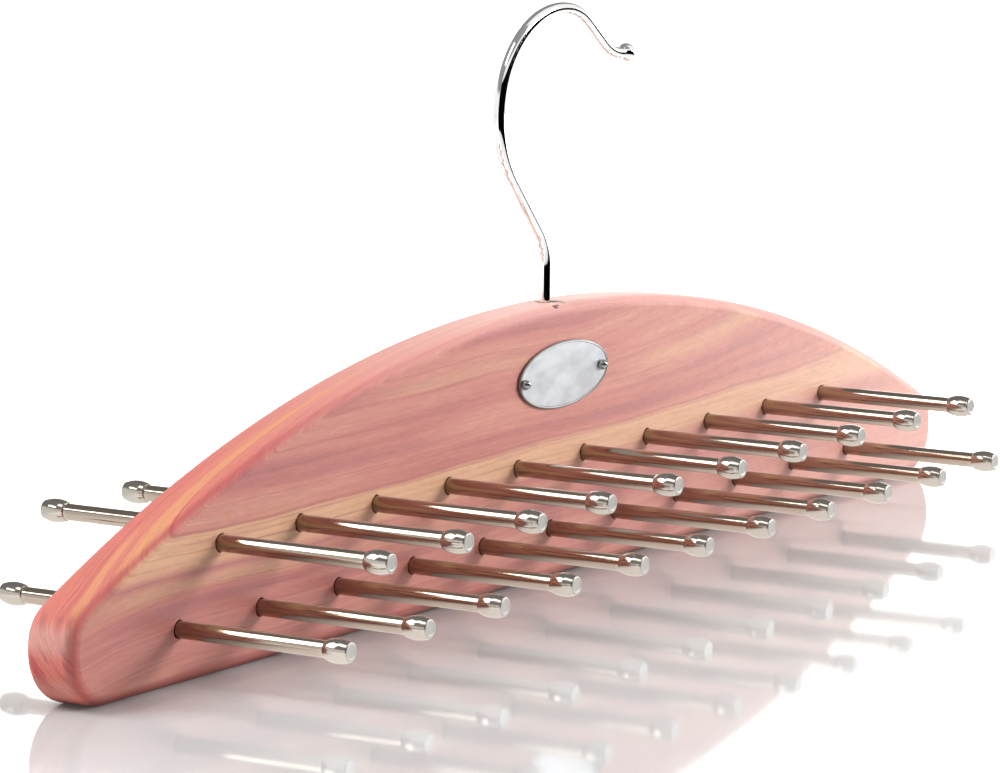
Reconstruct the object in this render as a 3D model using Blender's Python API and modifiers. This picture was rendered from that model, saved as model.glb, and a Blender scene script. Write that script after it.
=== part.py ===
# Hanging tie organizer: an arched cedar board that carries two rows of turned
# metal pegs on each side and a wire hook that swivels in its top edge.
# Metres, +Z up, +X along the board, -Y towards the front with the plate.
# The origin is the middle of the board's bottom edge.

import math

import bmesh
import bpy
from mathutils import Matrix, Vector

# Clearances shared by every joint between pieces
seat_gap = 0.0003
cut_overrun = 0.002

# Board
board_length = 0.413
board_height = 0.0688
board_thickness = 0.0134
board_edge_round = 0.003
board_shoulder_height = 0.0140
board_upper_corner_radius = 0.0100
board_lower_corner_radius = 0.0128

# Pegs and their pattern
peg_pitch = 0.032
peg_pattern_shift = 0.0067
peg_low_row_height = 0.0129
peg_high_row_height = 0.0301
peg_low_row_count = 11
peg_high_row_count = 10
peg_reach = 0.0457
peg_seat_depth = 0.010
peg_rod_diameter = 0.0040
peg_bulb_diameter = 0.0057
peg_bulb_length = 0.0065
peg_bulb_crest_from_end = 0.0031
peg_rim_diameter = 0.0047
peg_rim_chamfer = 0.0003

# Hook, whose loop lies in an upright plane through the stem
hook_wire_diameter = 0.0030
hook_turn_angle = math.radians(-4.4)
hook_stem_length = 0.0088
hook_lean_bend_radius = 0.0149
hook_loop_radius = 0.0256
hook_loop_side_offset = 0.0055
hook_loop_rise = 0.0476
hook_loop_end_heading = math.radians(-9.0)
hook_shoulder_radius = 0.0164
hook_slope_heading = math.radians(-39.3)
hook_slope_length = 0.0093
hook_tip_bend_radius = 0.0125
hook_tip_heading = math.radians(-1.4)
hook_tip_length = 0.0024
hook_ball_diameter = 0.0048
hook_head_diameter = 0.0039
hook_head_height = 0.0018
hook_running_gap = 0.00015

# Bush that the hook's shank turns in, a thin ferrule set below the bore's mouth
bush_outer_diameter = 0.0040
bush_length = 0.022
bush_recess = 0.0025

# Oval plate and its two pins
plate_width = 0.0429
plate_height = 0.0166
plate_thickness = 0.0005
plate_centre_shift = -0.0021
plate_centre_drop = 0.0174
plate_tilt = math.radians(1.4)
plate_pin_inset = 0.0028
plate_pin_shift = -0.0009
pin_head_diameter = 0.0027
pin_head_height = 0.0016
pin_shank_diameter = 0.0014
pin_seat_depth = 0.006

# Smoothness of the round shapes
top_arc_steps = 24
corner_steps = 5
edge_round_steps = 2
peg_sides = 12
bush_sides = 16
pin_sides = 12
oval_steps = 36
bend_step_angle = math.radians(11.0)
bulb_back_steps = 3
bulb_front_steps = 2
ball_steps = 5
dome_steps = 3
merge_distance = 0.00001

# Sizes that follow from the ones above
half_thickness = board_thickness / 2
half_length = board_length / 2
peg_rod_radius = peg_rod_diameter / 2
peg_bulb_radius = peg_bulb_diameter / 2
peg_rim_radius = peg_rim_diameter / 2
peg_seat_radius = peg_rod_radius + seat_gap
wire_radius = hook_wire_diameter / 2
bush_outer_radius = bush_outer_diameter / 2
bush_bore_radius = wire_radius + hook_running_gap
bush_top_height = board_height - bush_recess
bush_bottom_height = bush_top_height - bush_length
head_top_height = bush_bottom_height - seat_gap
shank_bottom_height = head_top_height - hook_head_height
hook_bore_radius = bush_outer_radius + seat_gap
hook_bore_bottom_height = shank_bottom_height - seat_gap
plate_centre_height = board_height - plate_centre_drop
plate_back_y = -half_thickness - seat_gap
plate_front_y = plate_back_y - plate_thickness
pin_shank_radius = pin_shank_diameter / 2
pin_hole_radius = pin_shank_radius + seat_gap


def clear_scene():
    for old in list(bpy.data.objects):
        bpy.data.objects.remove(old)


def new_collection(name):
    collection = bpy.data.collections.new(name)
    bpy.context.scene.collection.children.link(collection)
    return collection


def new_material(name, colour, roughness, metallic):
    material = bpy.data.materials.new(name)
    material.use_nodes = True
    shader = material.node_tree.nodes["Principled BSDF"]
    shader.inputs["Base Color"].default_value = (*colour, 1.0)
    shader.inputs["Roughness"].default_value = roughness
    shader.inputs["Metallic"].default_value = metallic
    return material


def new_object(name, data, collection, material=None):
    item = bpy.data.objects.new(name, data)
    collection.objects.link(item)
    if material is not None:
        data.materials.append(material)
    return item


def curve_to_mesh(curve_object, name, collection, material=None):
    # the mesh of a curve, with its loose caps joined to its sides
    bpy.context.view_layer.update()
    evaluated = curve_object.evaluated_get(bpy.context.evaluated_depsgraph_get())
    mesh = bpy.data.meshes.new_from_object(evaluated)
    mesh.materials.clear()
    work = bmesh.new()
    work.from_mesh(mesh)
    bmesh.ops.remove_doubles(work, verts=work.verts, dist=merge_distance)
    bmesh.ops.recalc_face_normals(work, faces=work.faces)
    work.to_mesh(mesh)
    work.free()
    mesh.name = name
    item = new_object(name, mesh, collection, material)
    item.matrix_world = curve_object.matrix_world
    bpy.data.objects.remove(curve_object)
    return item


def arc_points(centre_x, centre_y, radius, start, end, steps):
    # points on an arc, both ends included
    points = []
    for step in range(steps + 1):
        angle = start + (end - start) * step / steps
        points.append((centre_x + radius * math.cos(angle), centre_y + radius * math.sin(angle)))
    return points


def smooth_round(mesh):
    mesh.shade_smooth()
    mesh.set_sharp_from_angle(angle=math.radians(35.0))


# Board: its outline is drawn as seen from the front, x along it and y up
def board_outline(inset):
    # the upper corners are centred at the shoulders, and the top arc is tangent to both of them
    upper = board_upper_corner_radius
    lower = min(board_lower_corner_radius, board_shoulder_height)
    side = half_length - upper
    rise = board_height - board_shoulder_height
    top_radius = (side ** 2 + rise ** 2 - upper ** 2) / (2 * (rise - upper))
    top_centre = board_height - top_radius
    top_half_angle = math.asin(side / (top_radius - upper))
    quarter = math.pi / 2
    points = arc_points(half_length - lower, lower, lower - inset, -quarter, 0, corner_steps)
    points += arc_points(side, board_shoulder_height, upper - inset, 0, quarter - top_half_angle, corner_steps)
    points += arc_points(0, top_centre, top_radius - inset,
                         quarter - top_half_angle, quarter + top_half_angle, top_arc_steps)[1:]
    points += arc_points(-side, board_shoulder_height, upper - inset,
                         quarter + top_half_angle, math.pi, corner_steps)[1:]
    points += arc_points(-half_length + lower, lower, lower - inset, math.pi, math.pi + quarter, corner_steps)
    return points


def make_board_blank(collection, material):
    # flat face outline, thickened, with the rounded edge grown around it
    curve = bpy.data.curves.new("board_outline", "CURVE")
    curve.dimensions = "2D"
    curve.fill_mode = "BOTH"
    curve.extrude = half_thickness - board_edge_round
    curve.bevel_depth = board_edge_round
    curve.bevel_resolution = edge_round_steps
    points = board_outline(board_edge_round)
    spline = curve.splines.new("POLY")
    spline.points.add(len(points) - 1)
    for point, (x, y) in zip(spline.points, points):
        point.co = (x, y, 0, 1)
    spline.use_cyclic_u = True
    outline = new_object("board_outline", curve, collection)
    outline.rotation_euler = (math.pi / 2, 0, 0)
    return curve_to_mesh(outline, "board", collection, material)


def peg_places():
    # name, x, height and side of every peg: side is -1 at the front and +1 at the back
    places = []
    for side_name, side in (("front", -1), ("back", 1)):
        rows = (("low", peg_low_row_count, peg_low_row_height),
                ("high", peg_high_row_count, peg_high_row_height))
        for row_name, count, height in rows:
            for index in range(count):
                along = (index - (count - 1) / 2) * peg_pitch + side * peg_pattern_shift
                name = "peg_{}_{}_{:02d}".format(side_name, row_name, index + 1)
                places.append((name, along, height, side))
    return places


def plate_pin_places():
    # name, x and height of the two pins, which follow the plate's ends and its tilt
    places = []
    for name, side in (("nameplate_pin_left", -1), ("nameplate_pin_right", 1)):
        along = side * (plate_width / 2 - plate_pin_inset) + plate_pin_shift
        places.append((name, plate_centre_shift + along * math.cos(plate_tilt),
                       plate_centre_height + along * math.sin(plate_tilt)))
    return places


def add_cylinder(work, radius, start, end, sides):
    # closed cylinder from one point to another
    start = Vector(start)
    axis = Vector(end) - start
    turn = axis.to_track_quat("Z", "Y").to_matrix().to_4x4()
    place = Matrix.Translation(start + axis / 2) @ turn
    bmesh.ops.create_cone(work, cap_ends=True, segments=sides, radius1=radius, radius2=radius,
                          depth=axis.length, matrix=place)


def make_cutter(name, collection, cylinders):
    work = bmesh.new()
    for radius, start, end, sides in cylinders:
        add_cylinder(work, radius, start, end, sides)
    mesh = bpy.data.meshes.new(name)
    work.to_mesh(mesh)
    work.free()
    cutter = new_object(name, mesh, collection)
    cutter.hide_render = True
    cutter.display_type = "WIRE"
    return cutter


def cut(target, cutter):
    modifier = target.modifiers.new(cutter.name, "BOOLEAN")
    modifier.operation = "DIFFERENCE"
    modifier.solver = "EXACT"
    modifier.object = cutter


def make_board(parts, cutters, material):
    board = make_board_blank(parts, material)
    seats = []
    for _, along, height, side in peg_places():
        mouth = (along, side * (half_thickness + cut_overrun), height)
        floor = (along, side * (half_thickness - peg_seat_depth), height)
        seats.append((peg_seat_radius, floor, mouth, peg_sides))
    cut(board, make_cutter("peg_seat_cutter", cutters, seats))
    bore = (hook_bore_radius, (0, 0, hook_bore_bottom_height), (0, 0, board_height + cut_overrun), bush_sides)
    cut(board, make_cutter("hook_bore_cutter", cutters, [bore]))
    holes = []
    for _, x, height in plate_pin_places():
        mouth = (x, -half_thickness - cut_overrun, height)
        floor = (x, -half_thickness + pin_seat_depth + seat_gap, height)
        holes.append((pin_hole_radius, floor, mouth, pin_sides))
    cut(board, make_cutter("pin_hole_cutter", cutters, holes))
    board.data.shade_flat()
    return board


# Turned pieces: a profile from top to bottom, spun about the piece's own Z axis
def profile_mesh(name, points, material):
    mesh = bpy.data.meshes.new(name)
    edges = [(index, index + 1) for index in range(len(points) - 1)]
    mesh.from_pydata([(radius, 0, height) for radius, height in points], edges, [])
    mesh.materials.append(material)
    return mesh


def spin(item, sides):
    screw = item.modifiers.new("spin", "SCREW")
    screw.axis = "Z"
    screw.angle = 2 * math.pi
    screw.steps = sides
    screw.render_steps = sides
    screw.use_merge_vertices = True
    screw.merge_threshold = merge_distance
    screw.use_smooth_shade = True


# Peg: the board's face is at height zero and the free end at the top
def peg_profile():
    end = peg_reach
    crest = end - peg_bulb_crest_from_end
    neck = end - peg_bulb_length
    rim = end - peg_rim_chamfer
    points = [(0, end), (peg_rim_radius - peg_rim_chamfer, end)]
    for step in range(bulb_front_steps):
        share = step / bulb_front_steps
        swell = math.sin(share * math.pi / 2)
        points.append((peg_rim_radius + (peg_bulb_radius - peg_rim_radius) * swell, rim + (crest - rim) * share))
    for step in range(bulb_back_steps + 1):
        share = step / bulb_back_steps
        swell = math.cos(share * math.pi / 2)
        points.append((peg_rod_radius + (peg_bulb_radius - peg_rod_radius) * swell, crest + (neck - crest) * share))
    root = seat_gap - peg_seat_depth
    points += [(peg_rod_radius, root), (0, root)]
    return points


def make_pegs(parts, material):
    mesh = profile_mesh("peg_profile", peg_profile(), material)
    for name, along, height, side in peg_places():
        peg = bpy.data.objects.new(name, mesh)
        parts.objects.link(peg)
        peg.location = (along, side * half_thickness, height)
        peg.rotation_euler = (-side * math.pi / 2, 0, 0)
        spin(peg, peg_sides)


# Hook: its path is a chain of straight runs and bends in the plane of the loop
class Path:
    def __init__(self, x, height, heading):
        self.x = x
        self.height = height
        self.heading = heading
        self.points = [(x, height)]

    def run(self, length):
        self.x += length * math.cos(self.heading)
        self.height += length * math.sin(self.heading)
        self.points.append((self.x, self.height))

    def bend(self, radius, end_heading):
        # left turns have a rising heading, right turns a falling one
        turn = end_heading - self.heading
        side = 1 if turn > 0 else -1
        centre_x = self.x - side * radius * math.sin(self.heading)
        centre_height = self.height + side * radius * math.cos(self.heading)
        steps = max(1, math.ceil(abs(turn) / bend_step_angle))
        for step in range(1, steps + 1):
            heading = self.heading + turn * step / steps
            self.points.append((centre_x + side * radius * math.sin(heading),
                                centre_height - side * radius * math.cos(heading)))
        self.heading = end_heading
        self.x, self.height = self.points[-1]


def hook_path():
    # the stem leans over to the left until it is tangent to the loop's circle
    path = Path(0, board_height, math.pi / 2)
    path.run(hook_stem_length)
    across = hook_loop_side_offset + hook_lean_bend_radius
    up = hook_loop_rise - hook_stem_length
    distance = math.hypot(across, up)
    reach = hook_loop_radius + hook_lean_bend_radius
    lean = math.atan2(up, across) - math.acos(reach / distance)
    path.bend(hook_lean_bend_radius, math.pi / 2 + lean)
    path.run(math.sqrt(distance ** 2 - reach ** 2))
    path.bend(hook_loop_radius, hook_loop_end_heading)
    path.bend(hook_shoulder_radius, hook_slope_heading)
    path.run(hook_slope_length)
    path.bend(hook_tip_bend_radius, hook_tip_heading)
    path.run(hook_tip_length)
    return path


def ball_stations(path):
    # extra points and radii that swell the wire's end into a ball
    ball_radius = hook_ball_diameter / 2
    start = -math.sqrt(ball_radius ** 2 - wire_radius ** 2)
    first = math.acos(start / ball_radius)
    stations = []
    for step in range(ball_steps + 1):
        angle = first * (1 - step / ball_steps)
        along = ball_radius * math.cos(angle)
        radius = max(ball_radius * math.sin(angle), seat_gap)
        stations.append((path.x + along * math.cos(path.heading),
                         path.height + along * math.sin(path.heading), radius))
    return stations


def make_hook(parts, material):
    path = hook_path()
    head_radius = hook_head_diameter / 2
    stations = [(0, shank_bottom_height, head_radius), (0, head_top_height - seat_gap, head_radius),
                (0, head_top_height, wire_radius)]
    stations += [(x, height, wire_radius) for x, height in path.points[:-1]]
    stations += ball_stations(path)
    curve = bpy.data.curves.new("hook_wire", "CURVE")
    curve.dimensions = "3D"
    curve.fill_mode = "FULL"
    curve.bevel_depth = wire_radius
    curve.bevel_resolution = 3
    curve.use_fill_caps = True
    spline = curve.splines.new("POLY")
    spline.points.add(len(stations) - 1)
    for point, (x, height, radius) in zip(spline.points, stations):
        point.co = (x, 0, height, 1)
        point.radius = radius / wire_radius
    wire = new_object("hook_wire", curve, parts)
    wire.rotation_euler = (0, 0, hook_turn_angle)
    hook = curve_to_mesh(wire, "hook", parts, material)
    smooth_round(hook.data)
    return hook


# Bush: a plain sleeve, its bore a running fit on the hook's shank
def make_bush(parts, material):
    points = [(bush_bore_radius, bush_bottom_height), (bush_bore_radius, bush_top_height),
              (bush_outer_radius, bush_top_height), (bush_outer_radius, bush_bottom_height),
              (bush_bore_radius, bush_bottom_height)]
    bush = new_object("hook_bush", profile_mesh("hook_bush", points, material), parts)
    spin(bush, bush_sides)
    weld = bush.modifiers.new("weld", "WELD")
    weld.merge_threshold = merge_distance
    return bush


# Plate: a flat oval with two holes for its pins
def make_plate(parts, cutters, material):
    curve = bpy.data.curves.new("plate_outline", "CURVE")
    curve.dimensions = "2D"
    curve.fill_mode = "BOTH"
    curve.extrude = plate_thickness / 2
    spline = curve.splines.new("POLY")
    spline.points.add(oval_steps - 1)
    for index, point in enumerate(spline.points):
        angle = 2 * math.pi * index / oval_steps
        point.co = (plate_width / 2 * math.cos(angle), plate_height / 2 * math.sin(angle), 0, 1)
    spline.use_cyclic_u = True
    outline = new_object("plate_outline", curve, parts)
    outline.rotation_euler = (math.pi / 2, -plate_tilt, 0)
    outline.location = (plate_centre_shift, (plate_back_y + plate_front_y) / 2, plate_centre_height)
    plate = curve_to_mesh(outline, "nameplate", parts, material)
    holes = []
    for _, x, height in plate_pin_places():
        holes.append((pin_hole_radius, (x, plate_back_y + cut_overrun, height),
                      (x, plate_front_y - cut_overrun, height), pin_sides))
    cut(plate, make_cutter("plate_hole_cutter", cutters, holes))
    return plate


# Pins: a domed head on the plate and a shank that reaches into the board
def pin_profile():
    head_radius = pin_head_diameter / 2
    points = []
    for step in range(dome_steps + 1):
        angle = math.pi / 2 * step / dome_steps
        points.append((head_radius * math.sin(angle), pin_head_height * math.cos(angle)))
    root = -(-half_thickness + pin_seat_depth - plate_front_y + seat_gap)
    points += [(pin_shank_radius, 0), (pin_shank_radius, root), (0, root)]
    return points


def make_pins(parts, material):
    mesh = profile_mesh("pin_profile", pin_profile(), material)
    for name, x, height in plate_pin_places():
        pin = bpy.data.objects.new(name, mesh)
        parts.objects.link(pin)
        pin.location = (x, plate_front_y - seat_gap, height)
        pin.rotation_euler = (math.pi / 2, 0, 0)
        spin(pin, pin_sides)


def main():
    clear_scene()
    parts = new_collection("tie_organizer")
    cutters = new_collection("tie_organizer_cutters")
    cedar = new_material("cedar", (0.66, 0.30, 0.22), 0.45, 0.0)
    peg_nickel = new_material("peg_nickel", (0.80, 0.78, 0.74), 0.12, 1.0)
    hook_chrome = new_material("hook_chrome", (0.85, 0.85, 0.86), 0.06, 1.0)
    bush_steel = new_material("bush_steel", (0.55, 0.54, 0.52), 0.35, 1.0)
    plate_metal = new_material("plate_metal", (0.82, 0.83, 0.85), 0.25, 1.0)
    pin_metal = new_material("pin_metal", (0.75, 0.76, 0.76), 0.15, 1.0)
    make_board(parts, cutters, cedar)
    make_pegs(parts, peg_nickel)
    make_hook(parts, hook_chrome)
    make_bush(parts, bush_steel)
    make_plate(parts, cutters, plate_metal)
    make_pins(parts, pin_metal)


main()
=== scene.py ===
# Looks of the hanging tie organizer: arched cedar board, turned nickel pegs, wire hook and oval plate.
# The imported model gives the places. Every piece here is a finer copy of one of its nodes.

import math
import random

import bmesh
import bpy
from mathutils import Matrix, Vector


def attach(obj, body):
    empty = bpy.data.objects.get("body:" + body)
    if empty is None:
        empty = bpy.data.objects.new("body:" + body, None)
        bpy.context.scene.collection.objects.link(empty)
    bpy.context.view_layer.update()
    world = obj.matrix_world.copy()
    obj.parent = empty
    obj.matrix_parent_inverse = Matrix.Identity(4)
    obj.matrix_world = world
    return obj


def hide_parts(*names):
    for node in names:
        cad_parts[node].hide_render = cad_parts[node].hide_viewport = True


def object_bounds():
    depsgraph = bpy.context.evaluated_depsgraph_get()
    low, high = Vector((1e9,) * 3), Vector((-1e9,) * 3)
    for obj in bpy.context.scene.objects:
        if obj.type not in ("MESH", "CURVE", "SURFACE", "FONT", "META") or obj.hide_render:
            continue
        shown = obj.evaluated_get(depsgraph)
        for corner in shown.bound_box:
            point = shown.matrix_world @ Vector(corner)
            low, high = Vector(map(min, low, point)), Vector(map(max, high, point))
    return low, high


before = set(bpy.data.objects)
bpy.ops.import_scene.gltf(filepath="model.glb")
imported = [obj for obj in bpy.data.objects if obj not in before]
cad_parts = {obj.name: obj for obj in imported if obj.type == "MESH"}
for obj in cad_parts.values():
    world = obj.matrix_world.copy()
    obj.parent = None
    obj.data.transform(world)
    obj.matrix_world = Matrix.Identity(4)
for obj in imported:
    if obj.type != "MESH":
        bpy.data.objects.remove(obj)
cadBox = [[float(value) for value in corner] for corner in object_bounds()]
print("frame loaded:", len(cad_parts), "nodes")

fitGap = 0.0003          # clearance round everything that sits in the wood
mergeDistance = 0.000005
flatAngle = 30           # a bend sharper than this, in degrees, shades as an edge on the cut pieces


# shader helpers
class Signal:
    # one output of a shader node, so that maths on it can be written as plain expressions

    def __init__(self, finish, socket):
        self.finish = finish
        self.socket = socket

    def maths(self, operation, first, second=None):
        sockets = {0: first} if second is None else {0: first, 1: second}
        return self.finish.add("ShaderNodeMath", {"operation": operation}, sockets)

    def __add__(self, other):
        return self.maths("ADD", self, other)

    def __radd__(self, other):
        return self.maths("ADD", other, self)

    def __sub__(self, other):
        return self.maths("SUBTRACT", self, other)

    def __rsub__(self, other):
        return self.maths("SUBTRACT", other, self)

    def __mul__(self, other):
        return self.maths("MULTIPLY", self, other)

    def __rmul__(self, other):
        return self.maths("MULTIPLY", other, self)

    def __truediv__(self, other):
        return self.maths("DIVIDE", self, other)

    def __rtruediv__(self, other):
        return self.maths("DIVIDE", other, self)

    def atLeast(self, other):
        return self.maths("MAXIMUM", self, other)

    def atMost(self, other):
        return self.maths("MINIMUM", self, other)

    def size(self):
        return self.maths("ABSOLUTE", self)

    def fraction(self):
        return self.maths("FRACT", self)

    def root(self):
        return self.maths("SQRT", self)


class Finish:
    # a material that is built node by node

    def __init__(self, name):
        self.material = bpy.data.materials.new(name)
        self.material.use_nodes = True
        self.tree = self.material.node_tree
        self.tree.nodes.clear()
        self.count = 0

    def add(self, kind, settings=None, sockets=None, output=0):
        # a node: its settings come first, then the values or links of its sockets
        node = self.tree.nodes.new(kind)
        node.location = (self.count % 12 * 190, self.count // 12 * -260)
        self.count += 1
        for key, value in (settings or {}).items():
            if key == "stops":
                ramp = node.color_ramp
                while len(ramp.elements) < len(value):
                    ramp.elements.new(1)
                for element, (position, colour) in zip(ramp.elements, value):
                    element.position = position
                    element.color = (*colour, 1)
            else:
                setattr(node, key, value)
        for key, value in (sockets or {}).items():
            socket = node.inputs[key]
            if isinstance(value, Signal):
                self.tree.links.new(value.socket, socket)
            elif socket.type == "RGBA":
                socket.default_value = (*value, 1)
            else:
                socket.default_value = value
        return Signal(self, node.outputs[output])

    def part(self, vector, axis):
        return self.add("ShaderNodeSeparateXYZ", sockets={0: vector}, output=axis)

    def axes(self):
        # the piece's own coordinates in millimetres
        place = self.add("ShaderNodeTexCoord", output="Object")
        return [self.part(place, axis) * 1000 for axis in range(3)]

    def facing(self, axis):
        # how squarely the surface faces along one axis, from 0 to 1
        normal = self.add("ShaderNodeTexCoord", output="Normal")
        return self.part(normal, axis).size()

    def point(self, x, y, z):
        return self.add("ShaderNodeCombineXYZ", sockets={0: x, 1: y, 2: z})

    def noise(self, vector, detail=3.0, roughness=0.5):
        return self.add("ShaderNodeTexNoise", sockets={
            "Vector": vector, "Scale": 1.0, "Detail": detail, "Roughness": roughness})

    def step(self, value, low, high):
        # smooth rise from 0 at low to 1 at high, or a fall where low is the larger
        return self.add("ShaderNodeMapRange", {"interpolation_type": "SMOOTHSTEP"}, {
            "Value": value, "From Min": low, "From Max": high, "To Min": 0.0, "To Max": 1.0})

    def blend(self, factor, first, second, mode="MIX"):
        return self.add("ShaderNodeMix", {"data_type": "RGBA", "blend_type": mode},
                        {0: factor, 6: first, 7: second}, output=2)

    def bump(self, height, distance, strength):
        return self.add("ShaderNodeBump", sockets={
            "Strength": strength, "Distance": distance, "Height": height})

    def show(self, shader):
        output = self.tree.nodes.new("ShaderNodeOutputMaterial")
        self.tree.links.new(shader.socket, output.inputs["Surface"])
        return self.material

    def close(self, **sockets):
        # the surface shader, with spaces in socket names written as underscores
        named = {key.replace("_", " "): value for key, value in sockets.items()}
        return self.show(self.add("ShaderNodeBsdfPrincipled", sockets=named))


# mesh helpers
def finishMesh(work, name, material, sharpAngle=35.0):
    bmesh.ops.remove_doubles(work, verts=work.verts, dist=mergeDistance)
    bmesh.ops.recalc_face_normals(work, faces=work.faces)
    mesh = bpy.data.meshes.new(name)
    work.to_mesh(mesh)
    work.free()
    if material is not None:
        mesh.materials.append(material)
    mesh.shade_smooth()
    mesh.set_sharp_from_angle(angle=math.radians(sharpAngle))
    return mesh


def placeMesh(mesh, name):
    item = bpy.data.objects.new(name, mesh)
    bpy.context.scene.collection.objects.link(item)
    return item


def bridge(work, lower, upper):
    # quads, or triangles at a pole, between two closed rings
    count = max(len(lower), len(upper))
    for index in range(count):
        after = (index + 1) % count
        corners = [lower[index % len(lower)], lower[after % len(lower)],
                   upper[after % len(upper)], upper[index % len(upper)]]
        unique = []
        for corner in corners:
            if corner not in unique:
                unique.append(corner)
        if len(unique) > 2:
            work.faces.new(unique)


def skin(work, rings):
    for lower, upper in zip(rings, rings[1:]):
        bridge(work, lower, upper)


def turnedShape(work, profile, sides, place=None, ragged=None):
    # a profile of (radius, height) turned about Z, where a third number says how ragged that ring is
    place = place or Matrix.Identity(4)
    rings = []
    for radius, height, *rough in profile:
        if radius == 0:
            rings.append([work.verts.new(place @ Vector((0, 0, height)))])
            continue
        ring = []
        for index in range(sides):
            angle = 2 * math.pi * index / sides
            reach = radius + (rough[0] * ragged(angle) if rough and ragged else 0)
            point = Vector((reach * math.cos(angle), reach * math.sin(angle), height))
            ring.append(work.verts.new(place @ point))
        rings.append(ring)
    skin(work, rings)


def rideAs(piece, body, node):
    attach(piece, body)
    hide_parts(node)
    return piece


def evaluated(item, name):
    # the mesh with its modifiers applied, in a plain object
    bpy.context.view_layer.update()
    mesh = bpy.data.meshes.new_from_object(item.evaluated_get(bpy.context.evaluated_depsgraph_get()))
    mesh.name = name
    mesh.transform(item.matrix_world)
    bpy.data.objects.remove(item)
    return placeMesh(mesh, name)


def cutOut(blank, cutter, name, material):
    # takes the cutter out of the blank and evens the shading of the flats round the cuts
    cut = blank.modifiers.new(cutter.name, "BOOLEAN")
    cut.operation = "DIFFERENCE"
    cut.solver = "EXACT"
    cut.object = cutter
    item = evaluated(blank, name)
    bpy.data.objects.remove(cutter)
    item.data.materials.clear()
    item.data.materials.append(material)
    item.data.shade_smooth()
    item.data.set_sharp_from_angle(angle=math.radians(flatAngle))
    weighted = item.modifiers.new("evenNormals", "WEIGHTED_NORMAL")
    weighted.keep_sharp = True
    return evaluated(item, name)


# the board
board = {
    "length": 0.413, "height": 0.0688, "thickness": 0.0134,
    "edgeRound": 0.003, "roundSteps": 7,
    "shoulderHeight": 0.0140, "upperCorner": 0.0100, "lowerCorner": 0.0128,
    "arcSteps": 120, "cornerSteps": 20,
    # each kind of hole: flare of its mouth, how far its fibres tear out, and its sides
    "pegHole": (0.00008, 0.00022, 40), "pinHole": (0.0001, 0, 20), "bore": (0.0001, 0.0009, 64),
    "lip": 0.0002,       # depth of the flare
    "boreSeed": 205,
    # torn spots round a mouth: their number, and the least and most of their width and depth
    "tornSpots": 4, "tornWidth": (0.10, 0.28), "tornDepth": (0.3, 1.0),
}
halfThickness = board["thickness"] / 2
halfLength = board["length"] / 2


def arc(centreX, centreY, radius, start, end, steps):
    points = []
    for step in range(steps + 1):
        angle = start + (end - start) * step / steps
        points.append((centreX + radius * math.cos(angle), centreY + radius * math.sin(angle)))
    return points


def boardOutline(inset):
    # seen from the front: flat bottom, round corners and one long arc over the top
    upper, lower, shoulder = board["upperCorner"], board["lowerCorner"], board["shoulderHeight"]
    side = halfLength - upper
    rise = board["height"] - shoulder
    radius = (side ** 2 + rise ** 2 - upper ** 2) / (2 * (rise - upper))
    halfAngle = math.asin(side / (radius - upper))
    quarter = math.pi / 2
    corner = board["cornerSteps"]
    points = arc(halfLength - lower, lower, lower - inset, -quarter, 0, corner)
    points += arc(side, shoulder, upper - inset, 0, quarter - halfAngle, corner)
    points += arc(0, board["height"] - radius, radius - inset, quarter - halfAngle, quarter + halfAngle,
                  board["arcSteps"])[1:]
    points += arc(-side, shoulder, upper - inset, quarter + halfAngle, math.pi, corner)[1:]
    points += arc(-halfLength + lower, lower, lower - inset, math.pi, math.pi + quarter, corner)
    return points


def boardBlank():
    work = bmesh.new()
    rings = []
    steps = board["roundSteps"]
    for side in (-1, 1):
        order = range(steps + 1) if side < 0 else range(steps, -1, -1)
        for step in order:
            angle = math.pi / 2 * step / steps
            inset = board["edgeRound"] * (1 - math.sin(angle))
            depth = side * (halfThickness - board["edgeRound"] * (1 - math.cos(angle)))
            rings.append([work.verts.new((x, depth, z)) for x, z in boardOutline(inset)])
    skin(work, rings)
    work.faces.new(rings[0])
    work.faces.new(rings[-1])
    return placeMesh(finishMesh(work, "boardBlank", None), "boardBlank")


def tearing(seed):
    # how ragged a hole's mouth is round its rim: mostly clean, with a few torn fibres
    dice = random.Random(seed)
    bites = []
    for _ in range(board["tornSpots"]):
        bites.append((dice.uniform(0, 2 * math.pi), dice.uniform(*board["tornWidth"]),
                      dice.uniform(*board["tornDepth"])))

    def ragged(angle):
        total = 0
        for centre, width, depth in bites:
            away = (angle - centre + math.pi) % (2 * math.pi) - math.pi
            total = max(total, depth * math.exp(-(away / width) ** 2))
        return total
    return ragged


def drilledHole(work, kind, radius, mouth, direction, depth, seed=0):
    # a blind hole with a small flared and torn mouth, as a shape to cut away
    flare, tear, sides = board[kind]
    lip, above = board["lip"], 0.001
    profile = [(0, -depth), (radius, -depth), (radius, -lip * 4),
               (radius + flare * 0.3, -lip, tear * 0.4), (radius + flare, 0, tear),
               (radius + flare * 1.6, above, tear), (0, above)]
    turn = Vector(direction).to_track_quat("Z", "Y").to_matrix().to_4x4()
    turnedShape(work, profile, sides, Matrix.Translation(Vector(mouth)) @ turn, tearing(seed))


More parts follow.
